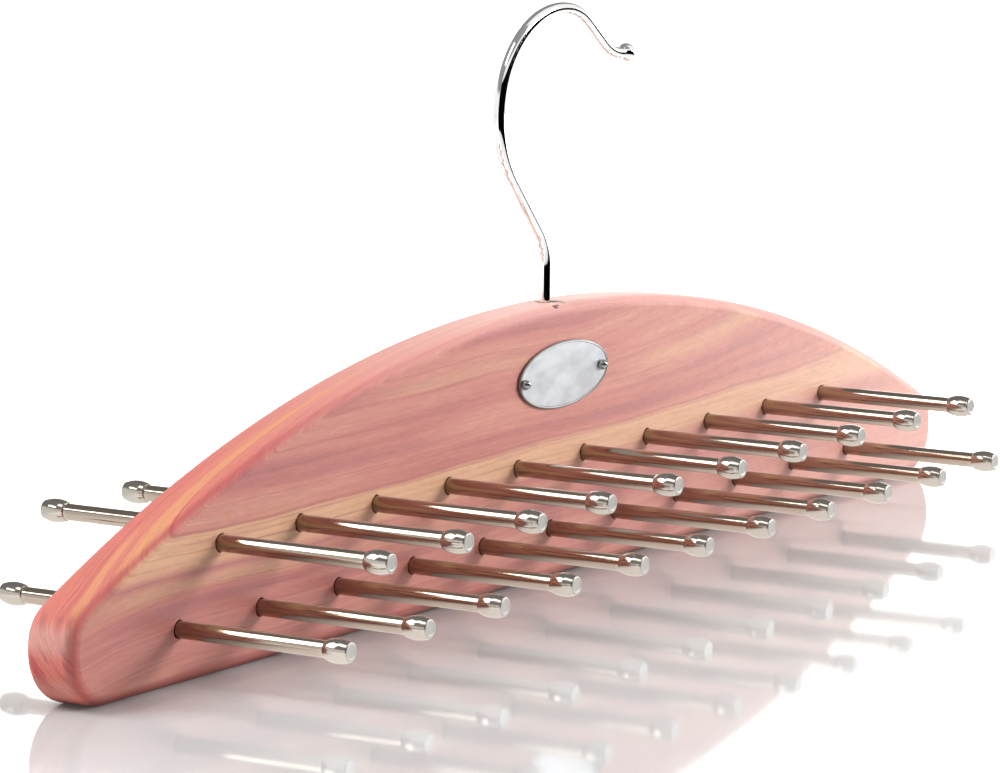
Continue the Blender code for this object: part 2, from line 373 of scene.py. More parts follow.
def makeBoard(material):
    blank = boardBlank()
    work = bmesh.new()
    for seed, (_, along, height, side) in enumerate(pegPlaces()):
        drilledHole(work, "pegHole", pegs["rod"] / 2 + pegs["holeGap"],
                    (along, side * halfThickness, height), (0, side, 0), pegs["seatDepth"], seed)
    for _, x, height in pinPlaces():
        drilledHole(work, "pinHole", pins["shankDiameter"] / 2 + fitGap,
                    (x, -halfThickness, height), (0, -1, 0), pins["seatDepth"] + fitGap)
    boreBottom = bushBottom() - fitGap - hook["headHeight"] - fitGap
    drilledHole(work, "bore", bush["outer"] / 2 + fitGap, (0, 0, board["height"]), (0, 0, 1),
                board["height"] - boreBottom, board["boreSeed"])
    cutter = placeMesh(finishMesh(work, "boardHoles", None), "boardHoles")
    item = cutOut(blank, cutter, "cedarBoard", material)
    rideAs(item, "board_assembly", "board")


# the pegs
pegs = {
    "pitch": 0.032, "shift": 0.0067,
    "lowHeight": 0.0129, "lowCount": 11,
    "highHeight": 0.0301, "highCount": 10,
    "reach": 0.0457, "seatDepth": 0.010, "holeGap": 0.00012,
    "rod": 0.0040, "rootChamfer": 0.0004,
    "bulb": 0.0057, "bulbLength": 0.0065, "crestFromEnd": 0.0031, "waist": 0.62,
    "rim": 0.0047, "rimRound": 0.00045, "rimSteps": 6,
    # the recess turned in the end: its depth, its lip, and its wall as parts of the rim's radius
    "recess": 0.00010, "recessLip": 0.00002, "recessWall": (0.60, 0.66),
    "sides": 48, "curveSteps": 14, "sharpAngle": 28, "seed": 7,
}


def pegPlaces():
    # node name, place along the board, height and side of every peg, -1 for the front
    places = []
    for sideName, side in (("front", -1), ("back", 1)):
        for row in ("low", "high"):
            count = pegs[row + "Count"]
            for index in range(count):
                along = (index - (count - 1) / 2) * pegs["pitch"] + side * pegs["shift"]
                places.append(("peg_{}_{}_{:02d}".format(sideName, row, index + 1),
                               along, pegs[row + "Height"], side))
    return places


def pegProfile():
    end, rod, bulb, rim = pegs["reach"], pegs["rod"] / 2, pegs["bulb"] / 2, pegs["rim"] / 2
    crest, neck, ease = end - pegs["crestFromEnd"], end - pegs["bulbLength"], pegs["rimRound"]
    inner, outer = pegs["recessWall"]
    points = [(0, end - pegs["recess"]), (rim * inner, end - pegs["recess"]),
              (rim * outer, end - pegs["recessLip"])]
    for step in range(pegs["rimSteps"]):
        angle = math.pi / 2 * step / pegs["rimSteps"]
        points.append((rim - ease * (1 - math.sin(angle)), end - ease * (1 - math.cos(angle))))
    steps = pegs["curveSteps"]
    for step in range(steps + 1):
        share = step / steps
        points.append((rim + (bulb - rim) * math.sin(share * math.pi / 2),
                       end - ease + (crest - end + ease) * share))
    for step in range(1, steps + 1):
        share = math.sin(math.pi / 2 * step / steps)
        swell = (1 - share ** 2) ** pegs["waist"] if step < steps else 0
        points.append((rod + (bulb - rod) * swell, crest + (neck - crest) * share))
    # the rod, with a ring just clear of the wood, and its root a little above the bottom of the seat
    root, chamfer = fitGap - pegs["seatDepth"], pegs["rootChamfer"]
    points += [(rod, 0.001), (rod, root + chamfer), (rod - chamfer, root), (0, root)]
    return points


def makePegs(material):
    # returns the pegs of the back, which the lamps treat apart
    work = bmesh.new()
    turnedShape(work, pegProfile(), pegs["sides"])
    mesh = finishMesh(work, "turnedPeg", material, pegs["sharpAngle"])
    dice = random.Random(pegs["seed"])
    backPegs = []
    for node, along, height, side in pegPlaces():
        peg = placeMesh(mesh, "turned_" + node)
        peg.matrix_world = (Matrix.Translation((along, side * halfThickness, height))
                            @ Matrix.Rotation(-side * math.pi / 2, 4, "X")
                            @ Matrix.Rotation(dice.uniform(0, 2 * math.pi), 4, "Z"))
        rideAs(peg, "board_assembly", node)
        if side > 0:
            backPegs.append(peg)
    return backPegs


# the hook and its bush
hook = {
    "wire": 0.0030, "turn": -4.4,
    "stem": 0.0088, "leanBend": 0.0149, "loop": 0.0256, "loopShift": 0.0055, "loopRise": 0.0476,
    "loopEnd": -9.0, "shoulderBend": 0.0164, "slopeHeading": -39.3, "slope": 0.0093,
    "tipBend": 0.0125, "tipHeading": -1.4, "tip": 0.0024, "ball": 0.0048,
    "headDiameter": 0.0039, "headHeight": 0.0018, "headEase": 0.0002, "headTaper": 0.0004,
    "sides": 40, "bendStep": 1.6, "ballSteps": 18, "sharpAngle": 40,
}
bush = {"outer": 0.0040, "length": 0.022, "recess": 0.0025, "runningGap": 0.00015,
        "ease": 0.00015, "sides": 48}


def bushBottom():
    return board["height"] - bush["recess"] - bush["length"]


class WirePath:
    # straight runs and bends in one plane, kept as stations of x, height and heading

    def __init__(self, x, height, heading):
        self.x, self.height, self.heading = x, height, heading
        self.stations = [(x, height, heading)]

    def run(self, length):
        self.x += length * math.cos(self.heading)
        self.height += length * math.sin(self.heading)
        self.stations.append((self.x, self.height, self.heading))

    def bend(self, radius, endHeading):
        turn = endHeading - self.heading
        side = 1 if turn > 0 else -1
        centreX = self.x - side * radius * math.sin(self.heading)
        centreHeight = self.height + side * radius * math.cos(self.heading)
        steps = max(1, math.ceil(abs(math.degrees(turn)) / hook["bendStep"]))
        for step in range(1, steps + 1):
            heading = self.heading + turn * step / steps
            self.stations.append((centreX + side * radius * math.sin(heading),
                                  centreHeight - side * radius * math.cos(heading), heading))
        self.x, self.height, self.heading = self.stations[-1]


def hookPath():
    path = WirePath(0, board["height"], math.pi / 2)
    path.run(hook["stem"])
    across = hook["loopShift"] + hook["leanBend"]
    up = hook["loopRise"] - hook["stem"]
    distance = math.hypot(across, up)
    reach = hook["loop"] + hook["leanBend"]
    lean = math.atan2(up, across) - math.acos(reach / distance)
    path.bend(hook["leanBend"], math.pi / 2 + lean)
    path.run(math.sqrt(distance ** 2 - reach ** 2))
    path.bend(hook["loop"], math.radians(hook["loopEnd"]))
    path.bend(hook["shoulderBend"], math.radians(hook["slopeHeading"]))
    path.run(hook["slope"])
    path.bend(hook["tipBend"], math.radians(hook["tipHeading"]))
    path.run(hook["tip"])
    return path


def makeHook(material):
    path = hookPath()
    wire, ball, head = hook["wire"] / 2, hook["ball"] / 2, hook["headDiameter"] / 2
    headTop = bushBottom() - fitGap
    headBottom = headTop - hook["headHeight"]
    up, ease = math.pi / 2, hook["headEase"]
    # x, height, heading and radius: the head under the bush, then the wire, then the ball at the tip
    stations = [(0, headBottom, up, 0), (0, headBottom, up, head - ease),
                (0, headBottom + ease, up, head), (0, headTop - hook["headTaper"], up, head),
                (0, headTop, up, wire)]
    stations += [(x, height, heading, wire) for x, height, heading in path.stations[:-1]]
    first = math.acos(-math.sqrt(ball ** 2 - wire ** 2) / ball)
    steps = hook["ballSteps"]
    for step in range(steps + 1):
        angle = first * (1 - step / steps)
        along = ball * math.cos(angle)
        stations.append((path.x + along * math.cos(path.heading),
                         path.height + along * math.sin(path.heading),
                         path.heading, ball * math.sin(angle) if step < steps else 0))
    work = bmesh.new()
    turn = Matrix.Rotation(math.radians(hook["turn"]), 4, "Z")
    outward = Vector((0, 1, 0))
    rings = []
    for x, height, heading, radius in stations:
        centre = Vector((x, 0, height))
        if radius == 0:
            rings.append([work.verts.new(turn @ centre)])
            continue
        across = Vector((-math.sin(heading), 0, math.cos(heading)))
        ring = []
        for index in range(hook["sides"]):
            angle = 2 * math.pi * index / hook["sides"]
            spoke = math.cos(angle) * across + math.sin(angle) * outward
            ring.append(work.verts.new(turn @ (centre + radius * spoke)))
        rings.append(ring)
    skin(work, rings)
    item = placeMesh(finishMesh(work, "bentWireHook", material, hook["sharpAngle"]), "bentWireHook")
    return rideAs(item, "hook_body", "hook")


def makeBush(material):
    inner, outer = hook["wire"] / 2 + bush["runningGap"], bush["outer"] / 2
    top, bottom, ease = board["height"] - bush["recess"], bushBottom(), bush["ease"]
    profile = [(inner, bottom + ease), (inner + ease, bottom), (outer - ease, bottom),
               (outer, bottom + ease), (outer, top - ease), (outer - ease, top),
               (inner + ease, top), (inner, top - ease), (inner, bottom + ease)]
    work = bmesh.new()
    turnedShape(work, profile, bush["sides"])
    item = placeMesh(finishMesh(work, "hookBushSleeve", material), "hookBushSleeve")
    rideAs(item, "board_assembly", "hook_bush")


# the plate and its pins
plate = {
    "width": 0.0429, "height": 0.0166, "thickness": 0.0005, "edgeEase": 0.00012,
    "shift": -0.0021, "drop": 0.0174, "tilt": 1.4,
    "rimWidth": 0.00055, "rimRise": 0.00012, "rimFoot": 0.0012,
    "steps": 120, "holeSides": 32,
}
pins = {
    "inset": 0.0028, "shift": -0.0009,
    "headDiameter": 0.0027, "headHeight": 0.0016, "shankDiameter": 0.0014, "seatDepth": 0.006,
    "sides": 36, "domeSteps": 10,
}


def pinPlaces():
    places = []
    tilt = math.radians(plate["tilt"])
    for name, side in (("left", -1), ("right", 1)):
        along = side * (plate["width"] / 2 - pins["inset"]) + pins["shift"]
        places.append((name, plate["shift"] + along * math.cos(tilt),
                       board["height"] - plate["drop"] + along * math.sin(tilt)))
    return places


def makePlate(material):
    width, height, thickness = plate["width"] / 2, plate["height"] / 2, plate["thickness"]
    rim, rise, ease = plate["rimWidth"], plate["rimRise"], plate["edgeEase"]
    # inset and level of each ring, from the back over the edge and the rim to the sunk middle
    levels = [(0.0, 0.0), (0.0, thickness - ease), (ease * 0.3, thickness - ease * 0.3),
              (ease, thickness), (rim, thickness), (rim + rise, thickness - rise),
              (rim + plate["rimFoot"], thickness - rise)]
    work = bmesh.new()
    rings = []
    for inset, level in levels:
        ring = []
        for index in range(plate["steps"]):
            angle = 2 * math.pi * index / plate["steps"]
            ring.append(work.verts.new(((width - inset) * math.cos(angle), -level,
                                        (height - inset) * math.sin(angle))))
        rings.append(ring)
    skin(work, rings)
    work.faces.new(rings[0])
    work.faces.new(rings[-1])
    blank = placeMesh(finishMesh(work, "plateBlank", material), "plateBlank")
    middle = (plate["shift"], -halfThickness - fitGap, board["height"] - plate["drop"])
    blank.matrix_world = (Matrix.Translation(middle)
                          @ Matrix.Rotation(-math.radians(plate["tilt"]), 4, "Y"))
    work = bmesh.new()
    radius, below, above = pins["shankDiameter"] / 2 + fitGap, -0.002, 0.003
    for _, x, level in pinPlaces():
        place = Matrix.Translation((x, -halfThickness, level)) @ Matrix.Rotation(math.pi / 2, 4, "X")
        turnedShape(work, [(0, below), (radius, below), (radius, above), (0, above)],
                    plate["holeSides"], place)
    cutter = placeMesh(finishMesh(work, "plateHoles", None), "plateHoles")
    item = cutOut(blank, cutter, "ovalPlate", material)
    rideAs(item, "board_assembly", "nameplate")


def makePins(material):
    head, dome, shank = pins["headDiameter"] / 2, pins["headHeight"], pins["shankDiameter"] / 2
    profile = []
    for step in range(pins["domeSteps"] + 1):
        angle = math.pi / 2 * step / pins["domeSteps"]
        profile.append((head * math.sin(angle), dome * math.cos(angle)))
    # the head stands on the plate, and the shank ends a fit's gap above the bottom of its seat
    frontY = -halfThickness - fitGap - plate["thickness"]
    root = -(pins["seatDepth"] - halfThickness - frontY + fitGap)
    profile += [(shank, 0), (shank, root), (0, root)]
    work = bmesh.new()
    turnedShape(work, profile, pins["sides"])
    mesh = finishMesh(work, "domedPin", material)
    for name, x, height in pinPlaces():
        pin = placeMesh(mesh, "domedPin_" + name)
        pin.matrix_world = (Matrix.Translation((x, frontY - fitGap, height))
                            @ Matrix.Rotation(math.pi / 2, 4, "X"))
        rideAs(pin, "board_assembly", "nameplate_pin_" + name)


# finishes
cedar = {
    # colours of the growth layers, from the darkest to the palest
    "layers": [(0.30, (0.400, 0.130, 0.130)), (0.41, (0.470, 0.150, 0.130)),
               (0.50, (0.535, 0.185, 0.150)), (0.59, (0.570, 0.230, 0.170)),
               (0.72, (0.620, 0.300, 0.200))],
    "cream": (0.660, 0.375, 0.215),
    "mauve": (0.410, 0.130, 0.135),
    "lateWood": (0.36, 0.100, 0.090),
    # a painted sheen on the right end, and a painted highlight on the end grain
    "paleSheen": (0.785, 0.520, 0.450),
    "edgeSheen": (0.930, 0.640, 0.570),
    "coral": (0.780, 0.225, 0.175),
    "crimson": (0.560, 0.095, 0.095),
    "orange": (0.800, 0.360, 0.175),
    # painted shade along the underside
    "underShade": (0.230, 0.085, 0.065),
    # dark of the torn fibres, and painted shade in the bore's torn mouth
    "tornDark": (0.055, 0.020, 0.012),
    # how far each tone covers the wood at its strongest
    "paleSheenAmount": 0.55, "edgeAmount": 0.78, "endAmount": 0.85, "underShadeAmount": 0.75, "tornDarkAmount": 0.9,
    # heights and leans in millimetres: the cream band of the front, and how far the layers lean back
    "bandLow": 26.5, "bandHigh": 33.4, "leanLeast": 1.5, "leanMost": 5.3,
    # torn fibres by the hook's bore: x, y and radius in millimetres
    "flecks": [(1.4, -2.3, 0.7), (-3.6, -5.3, 0.6), (-2.2, -5.0, 0.5)],
    # streaks the board happens to show: middle, half width, first and last x, tone, strength
    "streaks": [(22.6, 1.6, -215, -95, "cream", 0.55), (25.2, 1.0, -215, -60, "mauve", 0.55),
                (18.4, 1.3, -205, -120, "mauve", 0.60), (41.2, 1.3, -130, -40, "mauve", 0.45),
                (55.0, 1.6, -100, 10, "cream", 0.40), (41.3, 1.0, 10, 150, "mauve", 0.45),
                (46.0, 2.0, 20, 170, "cream", 0.50), (36.8, 0.9, 0, 160, "mauve", 0.50)],
    "roughness": 0.42, "rawDull": 0.30, "coat": 0.36, "coatRoughness": 0.34, "shine": 0.42,
    "relief": 0.00005, "reliefStrength": 0.5,
}


def cedarFinish():
    wood = Finish("cedarWood")
    x, y, z = wood.axes()
    # growth layers lean back through the thickness: long streaks on the face, fine lines on the edge
    lean = cedar["leanLeast"] + wood.step(x, -215.0, -60.0) * (cedar["leanMost"] - cedar["leanLeast"])
    drift = wood.noise(wood.point(x * 0.010, z * 0.018, y * 0.05), detail=2)
    # to the right they rise and spread, and low on the left they dip
    right = (x - 5).atLeast(0)
    rise = right * right / (right + 12) * 0.029 * (1 + (z - 38).atLeast(0) * 0.14)
    rise = rise + wood.step(x, -140.0, -20.0) * 1.4
    left = (-150 - x).atLeast(0)
    dip = left * left * 0.0015 * wood.step(z, 27.0, 16.0)
    height = z - lean * (y + 6.7) - rise + dip + (drift - 0.5) * 3.6
    ripple = wood.noise(wood.point(x * 0.035, height * 0.16, y * 0.02), detail=3)
    height = height + (ripple - 0.5) * 1.3

    broad = wood.noise(wood.point(x * 0.0065, height * 0.15, 3.0), detail=5, roughness=0.60)
    narrow = wood.noise(wood.point(x * 0.011, height * 0.55, 7.0), detail=4, roughness=0.6)
    streak = wood.noise(wood.point(x * 0.016, height * 1.1, 13.0), detail=4, roughness=0.65)
    fibre = wood.noise(wood.point(x * 0.24, height * 2.3, y * 1.0), detail=5, roughness=0.80)
    mottle = wood.noise(wood.point(x * 0.16, height * 0.7, y * 0.4), detail=3, roughness=0.6)

    level = broad * 0.72 + narrow * 0.28
    spread = 1.25 - wood.step(x, 0.0, 120.0) * 0.45
    level = (level - 0.5) * spread + 0.5
    colour = wood.add("ShaderNodeValToRGB", {"stops": cedar["layers"]}, {0: level})
    for middle, half, first, last, tone, strength in cedar["streaks"]:
        across = wood.step((height + (narrow - 0.5) * 2.2 - middle).size(), half * 1.5, half * 0.35)
        along = wood.step(x, first, first + 35) * wood.step(x, last, last - 35)
        colour = wood.blend(across * along * strength, colour, cedar[tone])
    frayed = height + (narrow - 0.5) * 3.0
    band = (wood.step(frayed, cedar["bandLow"] - 3.0, cedar["bandLow"] + 2.2)
            * wood.step(frayed, cedar["bandHigh"] + 0.9, cedar["bandHigh"] - 0.9))
    colour = wood.blend(band * (0.58 + wood.step(streak, 0.36, 0.56) * 0.40), colour, cedar["cream"])
    # a second cream layer lies deeper and comes out on the back
    deep = wood.step(height, -24.5, -22.0) * wood.step(height, -16.0, -18.5)
    colour = wood.blend(deep * 0.6, colour, cedar["cream"])

    # thin dark lines of late wood at uneven spacing, and one at the top of the cream band
    spacing = wood.noise(wood.point(2.0, height * 0.05, 5.0), detail=2)
    ring = (height * 0.30 + spacing * 3.0).fraction()
    line = wood.step(ring, 0.84, 0.97) * wood.step(ring, 1.0, 0.985)
    patches = wood.noise(wood.point(x * 0.012, height * 0.3, 11.0), detail=2)
    lineStrength = wood.step(patches, 0.42, 0.62)
    borderLine = wood.step((height - cedar["bandHigh"] - 0.4).size(), 0.50, 0.08)
    lines = (line * lineStrength * 0.50).atLeast(borderLine * 0.45)
    colour = wood.blend(lines, colour, cedar["lateWood"])
    # the right end is painted paler, a painted sheen
    colour = wood.blend(wood.step(x, -80.0, 300.0) * cedar["paleSheenAmount"], colour, cedar["paleSheen"])

    # the sanded edge is brighter than the faces, and painted paler towards the right as a painted sheen
    endOn, faceOn = wood.facing(0), wood.facing(1)
    edgeMask = wood.step(faceOn, 0.99, 0.78) * wood.step(y.size(), 6.69, 6.45)
    sheenRight = wood.step(x, -165.0, 5.0)
    front = wood.step(y, -4.6, -6.0)
    edgeTone = wood.blend((front * 0.85 + wood.step(narrow, 0.50, 0.66) * 0.50).atMost(1),
                          cedar["coral"], cedar["crimson"])
    edgeTone = wood.blend(sheenRight * (0.84 - front * 0.30), edgeTone, cedar["edgeSheen"])
    colour = wood.blend(edgeMask * cedar["edgeAmount"], colour, edgeTone)
    low = wood.step((height - 20.5).size(), 2.4, 0.8) * wood.step(x, -166.0, -182.0)
    warm = (band * 0.92).atLeast(low * 0.9) * (0.60 + wood.step(streak, 0.34, 0.58) * 0.40)
    warm = edgeMask * warm * wood.step(x, -70.0, -130.0) * (1 - front)
    colour = wood.blend(warm, colour, cedar["orange"])
    colour = wood.blend(edgeMask * lines * 0.8, colour, cedar["crimson"])
    # end grain drinks in more oil where the outline turns across the fibres
    endMask = wood.step(endOn, 0.45, 0.95) * wood.step(z, 27.0, 20.0)
    veinPlace = wood.point(height * 0.16, (y + z * 0.5) * 0.05, x * 0.04)
    vein = wood.noise(veinPlace, detail=4, roughness=0.6)
    pore = wood.noise(wood.point(height * 0.8, (y + z) * 0.08, x * 0.1), detail=3, roughness=0.6)
    endTint = wood.blend(wood.step(vein, 0.42, 0.60), cedar["coral"], cedar["crimson"])
    endTint = wood.blend(wood.step(pore, 0.50, 0.62) * 0.70, endTint, cedar["lateWood"])
    # painted highlight: a pale band across the middle of the end, and the end painted lighter towards
    # its bottom
    endTint = wood.blend(wood.step((z - 16).size(), 5.0, 1.0) * 0.50, endTint, cedar["paleSheen"])
    endTint = wood.blend(wood.step(z, 9.0, 3.5) * 0.40, endTint, cedar["paleSheen"])
    endTint = wood.blend(wood.step(y, -3.5, -5.5) * 0.60, endTint, cedar["mauve"])
    colour = wood.blend(endMask * cedar["endAmount"], colour, endTint)
    # painted shade: the underside is darkened where the board stands on the floor
    colour = wood.blend(wood.step(z, 3.2, 0.6) * cedar["underShadeAmount"], colour, cedar["underShade"])

    # dark torn fibres round the hook's bore, with painted shade in the torn hollows of its mouth
    fromBore = (x * x + y * y).root()
    topMask = wood.step(z, 62.0, 64.5)
    torn = wood.noise(wood.point(x * 0.55, y * 1.3, z * 0.9), detail=4, roughness=0.7)
    reach = fromBore - (x - y).atLeast(0) * 0.45
    tornShade = wood.step(reach + (torn - 0.5) * 6.5, 2.1, 1.5) * wood.step(fromBore, 5.6, 4.4) * topMask
    for middleX, middleY, radius in cedar["flecks"]:
        offX, offY = x - middleX, y - middleY
        away = (offX * offX * 0.35 + offY * offY).root() + (torn - 0.5) * 1.4    # long with the grain
        tornShade = tornShade.atLeast(wood.step(away, radius, radius * 0.5) * topMask)
    colour = wood.blend(tornShade * cedar["tornDarkAmount"], colour, cedar["tornDark"])

    # fine fibres shade and raise the whole surface
    fine = 0.54 + fibre * 0.62 + mottle * 0.16 + streak * 0.14
    shade = wood.add("ShaderNodeCombineColor", sockets={0: fine, 1: fine, 2: fine})
    colour = wood.blend(1.0, colour, shade, "MULTIPLY")
    raised = wood.bump(fibre * 0.6 - lines * 0.5, cedar["relief"], cedar["reliefStrength"])
    # the sanding leaves the left edge duller than the faces
    dull = wood.step(faceOn, 0.9998, 0.990) * (1 - sheenRight * 0.55)
    return wood.close(Base_Color=colour, Normal=raised,
                      Roughness=cedar["roughness"] + fibre * 0.12 + dull * cedar["rawDull"],
                      Coat_Weight=cedar["coat"] - dull * cedar["coat"],
                      Coat_Roughness=cedar["coatRoughness"], Specular_IOR_Level=cedar["shine"])


nickel = {
    # the root colour is a painted reflection of the wood near the board, and the colour of the pits too
    "rod": (0.420, 0.350, 0.285), "root": (0.320, 0.235, 0.170), "bulb": (0.500, 0.455, 0.400),
    "face": (0.450, 0.435, 0.405),
    "roughness": 0.09, "faceDull": 0.30,
}


def nickelFinish():
    metal = Finish("pegNickel")
    x, y, z = metal.axes()
    end = pegs["reach"] * 1000
    grain = metal.noise(metal.point(x * 3.2, y * 3.2, z * 1.5), detail=4, roughness=0.7)
    cloud = metal.noise(metal.point(x * 0.35, y * 0.35, z * 0.10), detail=3)
    pits = metal.noise(metal.point(x * 1.6, y * 1.6, z * 1.6), detail=4, roughness=0.8)
    face = metal.step(z, end - 0.25, end - 0.12)
    # painted reflection: the rod darkens and browns towards its root, for the wood it reflects there
    colour = metal.blend(metal.step(z, 16.0, 0.0) * 0.75 + metal.step(cloud, 0.5, 0.8) * 0.15,
                         nickel["rod"], nickel["root"])
    colour = metal.blend(metal.step(z, end - 8.0, end - 5.5), colour, nickel["bulb"])
    colour = metal.blend(metal.step(pits, 0.62, 0.74) * 0.35 * (1 - face), colour, nickel["root"])
    colour = metal.blend(face, colour, nickel["face"])
    roughness = nickel["roughness"] + metal.step(grain, 0.45, 0.85) * 0.10 + cloud * 0.05
    return metal.close(Base_Color=colour, Metallic=1.0, Roughness=roughness + face * nickel["faceDull"],
                       Normal=metal.bump(grain * 0.6 + pits + face * cloud, 0.00002, 0.45))


chrome = {"bright": (0.92, 0.912, 0.900), "hazed": (0.80, 0.765, 0.735), "roughness": 0.035}


def chromeFinish():
    metal = Finish("hookChrome")
    x, y, z = metal.axes()
    haze = metal.noise(metal.point(x * 0.4, y * 0.4, z * 0.4), detail=4)
    pits = metal.noise(metal.point(x * 3.5, y * 3.5, z * 3.5), detail=3, roughness=0.7)
    colour = metal.blend(metal.step(haze, 0.45, 0.8) * 0.5, chrome["bright"], chrome["hazed"])
    roughness = chrome["roughness"] + haze * 0.04 + metal.step(pits, 0.6, 0.85) * 0.08
    return metal.close(Base_Color=colour, Metallic=1.0, Roughness=roughness,
                       Normal=metal.bump(pits, 0.00001, 0.3))


aluminium = {
    "bright": (0.77, 0.795, 0.82), "clouded": (0.58, 0.59, 0.61),
    # painted shade along the plate's edge
    "edgeShade": (0.10, 0.080, 0.072), "edgeShadeAmount": 0.85,
    "roughness": 0.30, "metallic": 0.55,
}


def plateFinish():
    metal = Finish("plateAluminium")
    x, y, z = metal.axes()
    brushed = metal.noise(metal.point(x * 0.10, y, z * 6.0), detail=3, roughness=0.6)
    cloud = metal.noise(metal.point(x * 0.10, y, z * 0.22), detail=4, roughness=0.6)
    colour = metal.blend(metal.step(cloud, 0.3, 0.7), aluminium["bright"], aluminium["clouded"])
    # painted shade: the rim and the side wall are painted dark
    along = x - plate["shift"] * 1000
    rise = z - (board["height"] - plate["drop"]) * 1000
    rise = rise - along * math.tan(math.radians(plate["tilt"]))
    across = along * (2 / plate["width"] / 1000)
    upward = rise * (2 / plate["height"] / 1000)
    ring = (across * across + upward * upward).root()
    edge = metal.step(metal.facing(1), 0.97, 0.80).atLeast(metal.step(ring, 0.955, 0.985))
    colour = metal.blend(edge * aluminium["edgeShadeAmount"], colour, aluminium["edgeShade"])
    return metal.close(Base_Color=colour, Metallic=aluminium["metallic"],
                       Roughness=aluminium["roughness"] + brushed * 0.10,
                       Normal=metal.bump(brushed * 0.3 + cloud, 0.00001, 0.2))


# colour and least roughness
steel = {"bushSteel": ((0.55, 0.54, 0.52), 0.30), "pinSteel": ((0.40, 0.44, 0.43), 0.14)}


def steelFinish(name):
    colour, dull = steel[name]
    metal = Finish(name)
    x, y, z = metal.axes()
    grain = metal.noise(metal.point(x * 2.4, y * 2.4, z * 2.4), detail=4, roughness=0.65)
    shade = metal.blend(grain, colour, tuple(value * 0.72 for value in colour))
    return metal.close(Base_Color=shade, Metallic=1.0, Roughness=dull + grain * 0.12,
                       Normal=metal.bump(grain, 0.00002, 0.3))


makeBoard(cedarFinish())
print("board cut and finished")
backPegs = makePegs(nickelFinish())
print("pegs turned:", len(pegPlaces()))
bentHook = makeHook(chromeFinish())
makeBush(steelFinish("bushSteel"))
print("hook bent and bush set")
makePlate(plateFinish())
makePins(steelFinish("pinSteel"))
print("plate and pins fixed")


# studio
floor = {
    "size": 3.0, "colour": (0.64, 0.64, 0.645), "tableDrop": 0.00008, "polishDrop": 0.00004,
    "roughness": 0.06, "gloss": 1.7,
    # painted white glow that the polish adds: to the camera everywhere and far off, in metal everywhere
    # and close by
    "lift": 0.08, "farLift": 0.60, "glossLift": 0.30, "nearGloss": 0.45,
    # where each starts and is full, in millimetres from the middle
    "far": (215, 340), "near": (150, 60), "clearAcross": (8, 32), "clearAlong": (200, 230),
}


def makeSheet(name, material, height):
    work = bmesh.new()
    bmesh.ops.create_grid(work, x_segments=1, y_segments=1, size=floor["size"])
    mesh = bpy.data.meshes.new(name)
    work.to_mesh(mesh)
    work.free()
    mesh.materials.append(material)
    sheet = placeMesh(mesh, name)
    sheet.location.z = height
    return sheet


def makeFloor():
    # a matt table takes the light and the shadows, under a clear polish that takes the reflections
    table = Finish("paleTable")
    table.close(Base_Color=floor["colour"], Roughness=1.0, Specular_IOR_Level=0.0)
    makeSheet("table", table.material, cadBox[0][2] - floor["tableDrop"])
    polish = Finish("tablePolish")
    gloss = polish.add("ShaderNodeBsdfAnisotropic", sockets={"Roughness": floor["roughness"]})
    fresnel = polish.add("ShaderNodeFresnel", sockets={"IOR": floor["gloss"]})
    clearCoat = polish.add("ShaderNodeMixShader", sockets={
        0: fresnel, 1: polish.add("ShaderNodeBsdfTransparent"), 2: gloss})
    # it clears to pure white away from the piece, for the camera and in polished metal
    seen = polish.add("ShaderNodeLightPath", output="Is Camera Ray")
    mirrored = polish.add("ShaderNodeLightPath", output="Is Glossy Ray")
    x, y, z = polish.axes()
    far = polish.step((x * x + y * y * 0.25).root(), *floor["far"])
    # the lift stops under and close beside the board, where its contact shadow lies, so the shade there
    # is painted darker, in reflections too
    clear = polish.step(y.size(), *floor["clearAcross"])
    clear = clear.atLeast(polish.step(x.size(), *floor["clearAlong"]))
    near = polish.step(y.size(), *floor["near"])
    strength = (seen * (floor["lift"] + far * floor["farLift"]) * (0.5 + clear * 0.5)
                + mirrored * (floor["glossLift"] + near * floor["nearGloss"]) * clear)
    lift = polish.add("ShaderNodeEmission", sockets={"Color": (1.0, 1.0, 1.0), "Strength": strength})
    polish.show(polish.add("ShaderNodeAddShader", sockets={0: clearCoat, 1: lift}))
    sheet = makeSheet("tablePolish", polish.material, cadBox[0][2] - floor["polishDrop"])
    sheet.visible_diffuse = False
    sheet.visible_shadow = False
    return sheet


def hideCard(work, name, greys):
    # a card that shows only in what reflects it, and only on its inner side
    middle = Vector((0, 0, 0.1))
    for face in work.faces:
        face.normal_update()
        if face.normal.dot(middle - face.calc_center_median()) < 0:
            face.normal_flip()
    mesh = bpy.data.meshes.new(name)
    work.to_mesh(mesh)
    work.free()
    shades = mesh.color_attributes.new("shade", "FLOAT_COLOR", "POINT")
    for point, grey in zip(shades.data, greys):
        point.color = (grey, grey, grey, 1)
    cloth = Finish(name + "Cloth")
    shade = cloth.add("ShaderNodeVertexColor", {"layer_name": "shade"})
    glow = cloth.add("ShaderNodeEmission", sockets={"Color": shade, "Strength": 1.0})
    outside = cloth.add("ShaderNodeNewGeometry", output="Backfacing")
    clear = cloth.add("ShaderNodeBsdfTransparent")
    cloth.show(cloth.add("ShaderNodeMixShader", sockets={0: outside, 1: glow, 2: clear}))
    mesh.materials.append(cloth.material)
    card = placeMesh(mesh, name)
    card.visible_camera = False
    card.visible_diffuse = False
    card.visible_shadow = False


room = {
    "radius": 2.4, "foot": 8.0, "fade": 5.0, "columns": 155, "rows": 41,
    # bearing, the angle above which the room is unlit there, and its grey
    "stops": [(-16.0, 90.0, 0.28), (-6.0, 14.0, 0.28), (78.0, 14.0, 0.28), (86.0, 17.0, 0.30),
              (192.0, 19.0, 0.30), (204.0, 44.0, 0.32), (280.0, 44.0, 0.32), (294.0, 90.0, 0.32)],
}


